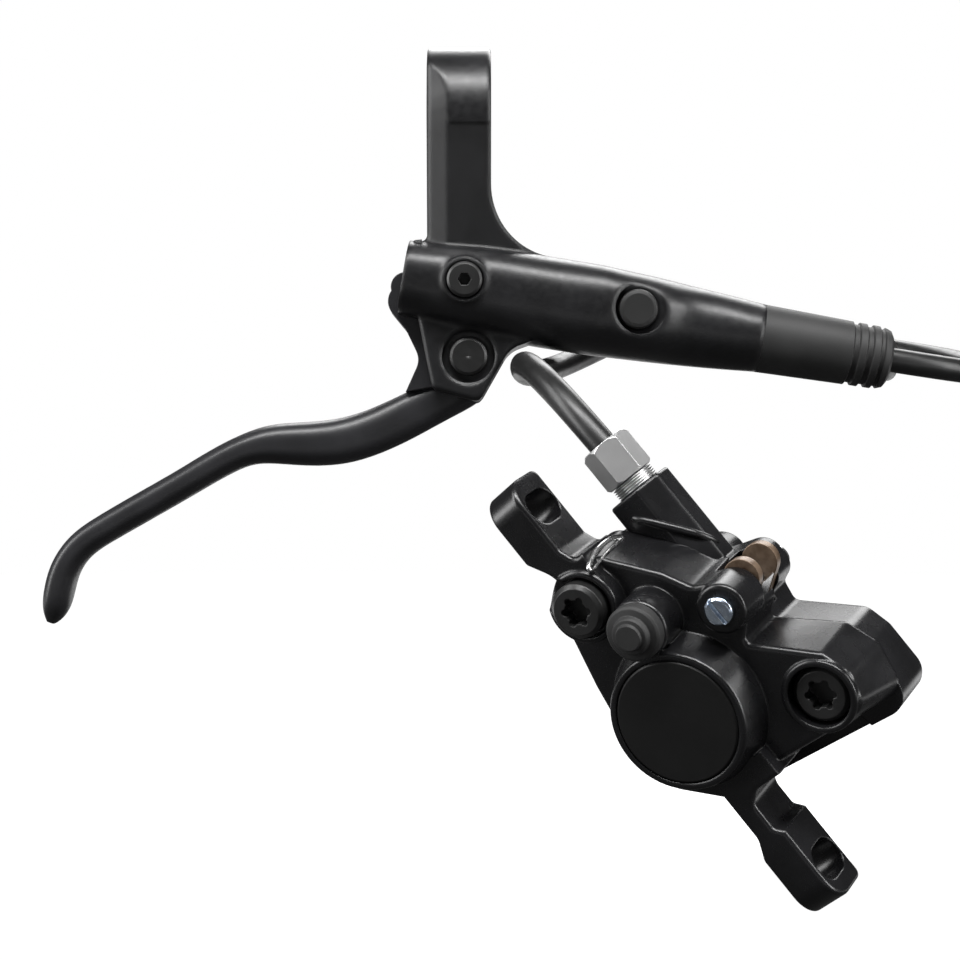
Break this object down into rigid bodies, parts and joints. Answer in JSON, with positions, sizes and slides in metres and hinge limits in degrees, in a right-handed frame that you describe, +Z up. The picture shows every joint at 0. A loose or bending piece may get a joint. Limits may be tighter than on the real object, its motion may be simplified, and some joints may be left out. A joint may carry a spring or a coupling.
{
  "type": "hydraulic disc brake",
  "caption": "Bicycle hydraulic disc brake: lever with master cylinder on a bar clamp, coiled brake hose, and a two-piston caliper with post mount ears.",
  "frame": {"origin": "centre of the handlebar clamp, on the bar's axis at the middle of the band", "axes": "+X along the handlebar towards the hose end of the lever unit, +Z up the lever's face, +Y from the rider's view through the unit to its back"},
  "size_m": [0.2022, 0.1854, 0.1584],
  "materials": {
    "casting_black": "satin black coat",
    "lever_black": "satin black coat",
    "cover_black": "matt black coat",
    "bolt_black": "black zinc",
    "plug_black": "matt black moulding",
    "rubber_black": "matt black rubber",
    "nut_steel": "bright machined steel",
    "axle_zinc": "blue zinc",
    "spring_steel": "drawn spring steel",
    "fitting_brass": "turned brass",
    "bush_polymer": "bearing polymer",
    "piston_alloy": "hard anodised",
    "piston_resin": "filled resin",
    "plate_brown": "brown baked coat",
    "lining_resin": "resin friction block",
    "hose_black": "smooth black jacket"
  },
  "bodies": {
    "housings": {"master_cylinder_body": "casting_black", "clamp_bolt": "bolt_black", "lever_axle": "bolt_black", "axle_clip": "spring_steel", "piston_circlip": "spring_steel", "reservoir_diaphragm": "rubber_black", "reservoir_plug": "plug_black", "bleed_screw": "bolt_black", "bleed_screw_seal": "rubber_black", "lever_flange_nut": "nut_steel", "lever_olive": "fitting_brass", "lever_hose_insert": "fitting_brass", "hose_boot": "rubber_black", "brake_hose_lever_end": "hose_black", "brake_hose_lever_run": "hose_black", "hose_coil": "hose_black", "coil_tie": "plug_black", "brake_hose_caliper_run": "hose_black", "caliper_outboard_half": "casting_black", "caliper_inboard_half": "casting_black", "body_bolt_left": "bolt_black", "body_bolt_right": "bolt_black", "crossover_o_ring": "rubber_black", "outboard_piston_seal": "rubber_black", "inboard_piston_seal": "rubber_black", "outboard_bore_cover": "cover_black", "pad_spring": "spring_steel", "pad_axle": "axle_zinc", "pad_axle_clip": "spring_steel", "bleed_nipple": "nut_steel", "bleed_nipple_cap": "rubber_black", "caliper_flange_nut": "nut_steel", "caliper_olive": "fitting_brass", "caliper_hose_insert": "fitting_brass", "piston_return_spring": "spring_steel"},
    "lever": {"lever_blade": "lever_black", "lever_bush_front": "bush_polymer", "lever_bush_rear": "bush_polymer"},
    "master_piston_set": {"pushrod": "nut_steel", "master_piston": "piston_alloy", "primary_cup": "rubber_black", "secondary_cup": "rubber_black"},
    "outboard_piston_body": {"outboard_piston": "piston_resin"},
    "inboard_piston_body": {"inboard_piston": "piston_resin"},
    "outboard_pad": {"outboard_pad_plate": "plate_brown", "outboard_pad_lining": "lining_resin"},
    "inboard_pad": {"inboard_pad_plate": "plate_brown", "inboard_pad_lining": "lining_resin"}
  },
  "joints": [
    {"name": "lever_pivot", "type": "hinge", "parent": "housings", "child": "lever", "pos_m": [0.0019, -0.003, -0.0487], "axis": [0, 1, 0], "range_deg": [0, 18], "stiffness_Nm_per_rad": 0.6, "springref_deg": -6.88},
    {"name": "master_piston_slide", "type": "slide", "parent": "housings", "child": "master_piston_set", "axis": [0.9866, 0, -0.1633], "range_m": [0, 0.0045], "deforming": ["piston_return_spring"]},
    {"name": "outboard_piston_slide", "type": "slide", "parent": "housings", "child": "outboard_piston_body", "axis": [0.4703, 0.8355, 0.2843], "range_m": [0, 0.0006]},
    {"name": "inboard_piston_slide", "type": "slide", "parent": "housings", "child": "inboard_piston_body", "axis": [-0.4703, -0.8355, -0.2843], "range_m": [0, 0.0006]},
    {"name": "outboard_pad_slide", "type": "slide", "parent": "housings", "child": "outboard_pad", "axis": [0.4703, 0.8355, 0.2843], "range_m": [0, 0.0006], "deforming": ["pad_spring"]},
    {"name": "inboard_pad_slide", "type": "slide", "parent": "housings", "child": "inboard_pad", "axis": [-0.4703, -0.8355, -0.2843], "range_m": [0, 0.0006], "deforming": ["pad_spring"]}
  ],
  "couplings": [
    {"joint": "master_piston_slide", "follows": "lever_pivot", "m_per_rad": 0.01397},
    {"joint": "outboard_piston_slide", "follows": "lever_pivot", "m_per_rad": 0.00167},
    {"joint": "inboard_piston_slide", "follows": "lever_pivot", "m_per_rad": 0.00167},
    {"joint": "outboard_pad_slide", "follows": "lever_pivot", "m_per_rad": 0.00167},
    {"joint": "inboard_pad_slide", "follows": "lever_pivot", "m_per_rad": 0.00167}
  ]
}
